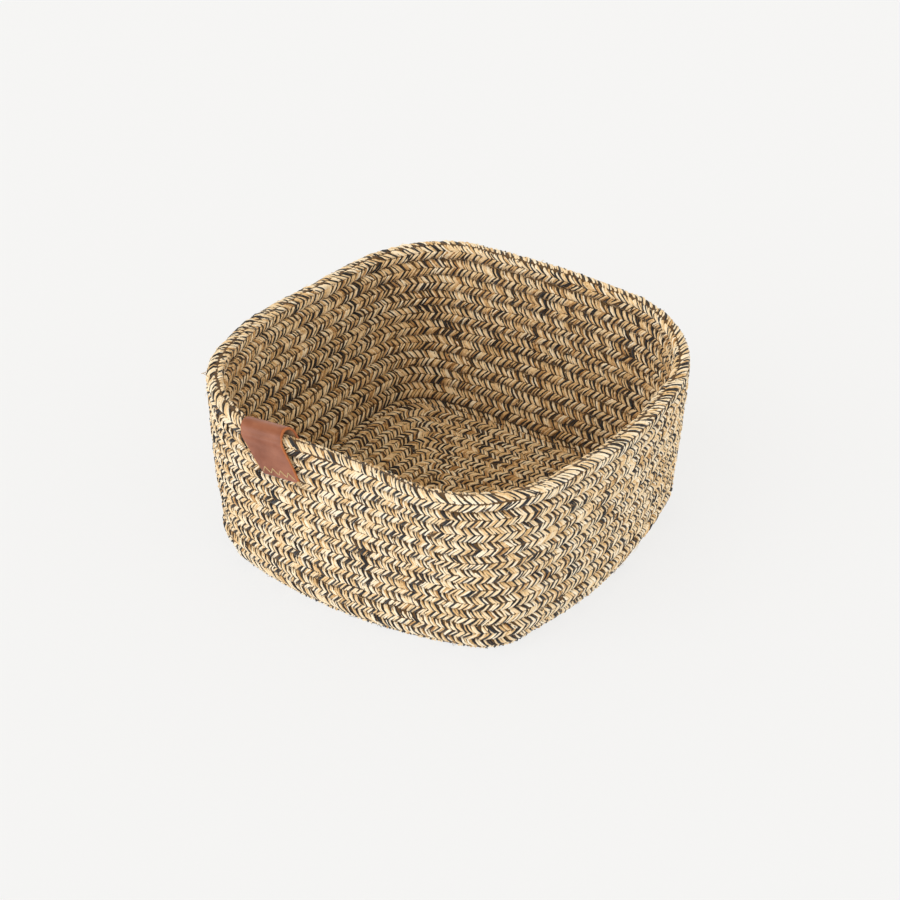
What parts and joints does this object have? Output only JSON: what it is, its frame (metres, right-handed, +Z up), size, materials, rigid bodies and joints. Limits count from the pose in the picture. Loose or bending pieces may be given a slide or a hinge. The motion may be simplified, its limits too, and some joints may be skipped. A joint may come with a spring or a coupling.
{
  "type": "coiled braided-cord storage basket",
  "caption": "Low open storage basket, rounded square, coiled from braided natural and black cord sewn turn to turn, with a leather tab folded over the rim.",
  "frame": {"origin": "middle of the base, on the surface the basket stands on", "axes": "+Z up, out of the open top; +X to the right side; +Y to the back, away from the side with the leather tab"},
  "size_m": [0.2445, 0.2395, 0.1166],
  "materials": {
    "braided_cord": "matte natural fibre yarn braided with black yarn",
    "sewing_thread": "matte tan sewing thread",
    "leather": "smooth reddish brown leather, satin, raw orange-brown cut edges",
    "tab_thread": "matte tan sewing thread"
  },
  "bodies": {
    "root": {"base_centre_coil": "braided_cord", "base_turn_1": "braided_cord", "base_turn_2": "braided_cord", "base_turn_3": "braided_cord", "base_turn_4": "braided_cord", "base_turn_5": "braided_cord", "base_turn_6": "braided_cord", "base_turn_7": "braided_cord", "base_turn_8": "braided_cord", "base_turn_9": "braided_cord", "wall_course_1": "braided_cord", "wall_course_2": "braided_cord", "wall_course_3": "braided_cord", "wall_course_4": "braided_cord", "wall_course_5": "braided_cord", "wall_course_6": "braided_cord", "wall_course_7": "braided_cord", "wall_course_8": "braided_cord", "wall_course_9": "braided_cord", "wall_course_10": "braided_cord", "rim_course": "braided_cord", "base_seam_thread": "sewing_thread", "wall_seam_thread": "sewing_thread", "leather_tab": "leather", "tab_stitches": "tab_thread"}
  },
  "joints": []
}
